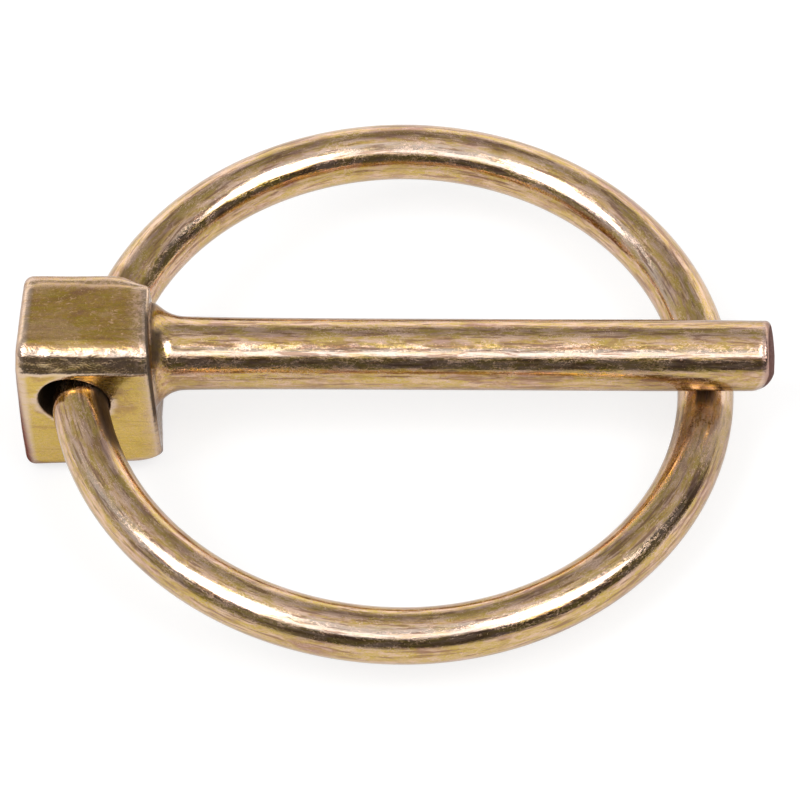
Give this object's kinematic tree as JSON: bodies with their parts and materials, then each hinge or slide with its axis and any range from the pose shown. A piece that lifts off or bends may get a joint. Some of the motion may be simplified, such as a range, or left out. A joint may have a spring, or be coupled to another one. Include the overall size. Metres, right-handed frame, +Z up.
{
  "type": "lynch pin",
  "caption": "Lynch pin with a forged head, a round shank and a sprung wire ring that swings on a slanted hole through the head and snaps shut round the shank's tip.",
  "frame": {"origin": "on the shank's axis, in the plane of the flat shoulder where the shank leaves the head", "axes": "+X along the shank to its tip, +Z up through the head's upper flat, Y across, with the hole for the ring running 13.4 degrees off Y; the ring lies closed, under the shank"},
  "size_m": [0.0484, 0.0417, 0.0114],
  "materials": {
    "pin_zinc": "yellow zinc plate, satin, with drawing scratches",
    "ring_zinc": "yellow zinc plate on drawn wire, satin to bright"
  },
  "bodies": {
    "pin_body": {"pin": "pin_zinc"},
    "ring_body": {"ring": "ring_zinc"}
  },
  "joints": [
    {"name": "ring_hinge", "type": "hinge", "parent": "pin_body", "child": "ring_body", "pos_m": [-0.00335, 0, 0], "axis": [0.2317, 0.9728, 0], "range_deg": [0, 347]}
  ]
}
